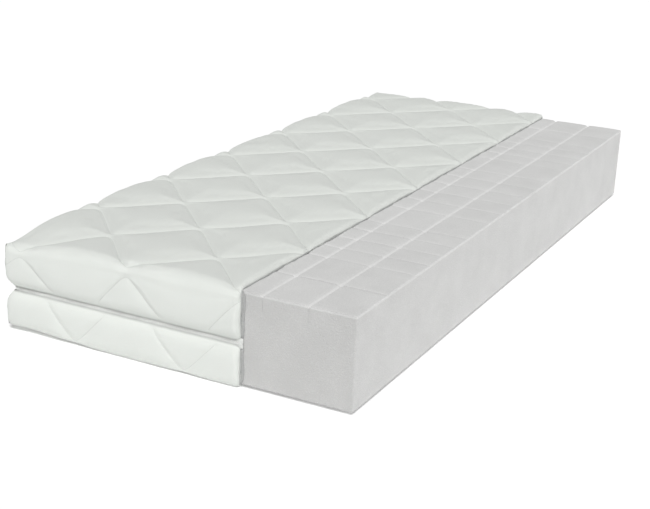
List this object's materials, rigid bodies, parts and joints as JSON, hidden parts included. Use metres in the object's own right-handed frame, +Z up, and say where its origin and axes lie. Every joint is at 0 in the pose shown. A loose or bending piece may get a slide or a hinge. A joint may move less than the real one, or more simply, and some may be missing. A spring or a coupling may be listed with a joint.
{
  "type": "foam mattress",
  "caption": "Single foam mattress with knife-cut memory foam on a support core, in a quilted two-part zip cover that is cut away along one side.",
  "frame": {"origin": "middle of the underside, on the surface that the mattress lies on", "axes": "+X across the width towards the bare foam, +Y along the length towards the head end, +Z up"},
  "size_m": [0.912, 2.0224, 0.2392],
  "materials": {
    "base_foam": "matte open-cell foam",
    "memory_foam": "matte open-cell foam",
    "ticking": "quilted knit",
    "wadding": "fluffy fibre",
    "backing": "thin non-woven",
    "zip_cloth": "woven tape",
    "zip_plastic": "satin nylon",
    "zip_metal": "nickel plated",
    "label_cloth": "woven satin"
  },
  "bodies": {
    "lower_cover": {"lower_ticking": "ticking", "lower_wadding": "wadding", "lower_backing": "backing", "zip_tape_lower": "zip_cloth", "zip_tape_lower_head": "zip_cloth", "zip_coil_lower": "zip_plastic", "zip_coil_lower_head": "zip_plastic", "zip_box": "zip_plastic", "zip_stop_lower": "zip_metal", "care_label": "label_cloth"},
    "foam_core": {"base_foam_core": "base_foam", "memory_foam_layer": "memory_foam"},
    "upper_cover": {"upper_ticking": "ticking", "upper_wadding": "wadding", "upper_backing": "backing", "zip_tape_upper": "zip_cloth", "zip_tape_upper_head": "zip_cloth", "zip_coil_upper": "zip_plastic", "zip_coil_upper_head": "zip_plastic", "zip_pin": "zip_plastic", "zip_stop_upper": "zip_metal"},
    "slider": {"zip_slider": "zip_metal"},
    "pull_tab": {"zip_pull_tab": "zip_metal"}
  },
  "joints": [
    {"name": "core_lift", "type": "slide", "parent": "lower_cover", "child": "foam_core", "axis": [0, 0, 1], "range_m": [0, 0.15]},
    {"name": "cover_lift", "type": "slide", "parent": "foam_core", "child": "upper_cover", "axis": [0, 0, 1], "range_m": [0, 0.15]},
    {"name": "zip_travel", "type": "slide", "parent": "lower_cover", "child": "slider", "axis": [0, -1, 0], "range_m": [0, 1.88]},
    {"name": "tab_flip", "type": "hinge", "parent": "slider", "child": "pull_tab", "pos_m": [-0.4512, 0.923, 0.105], "axis": [0, 0, -1], "range_deg": [0, 180]}
  ]
}
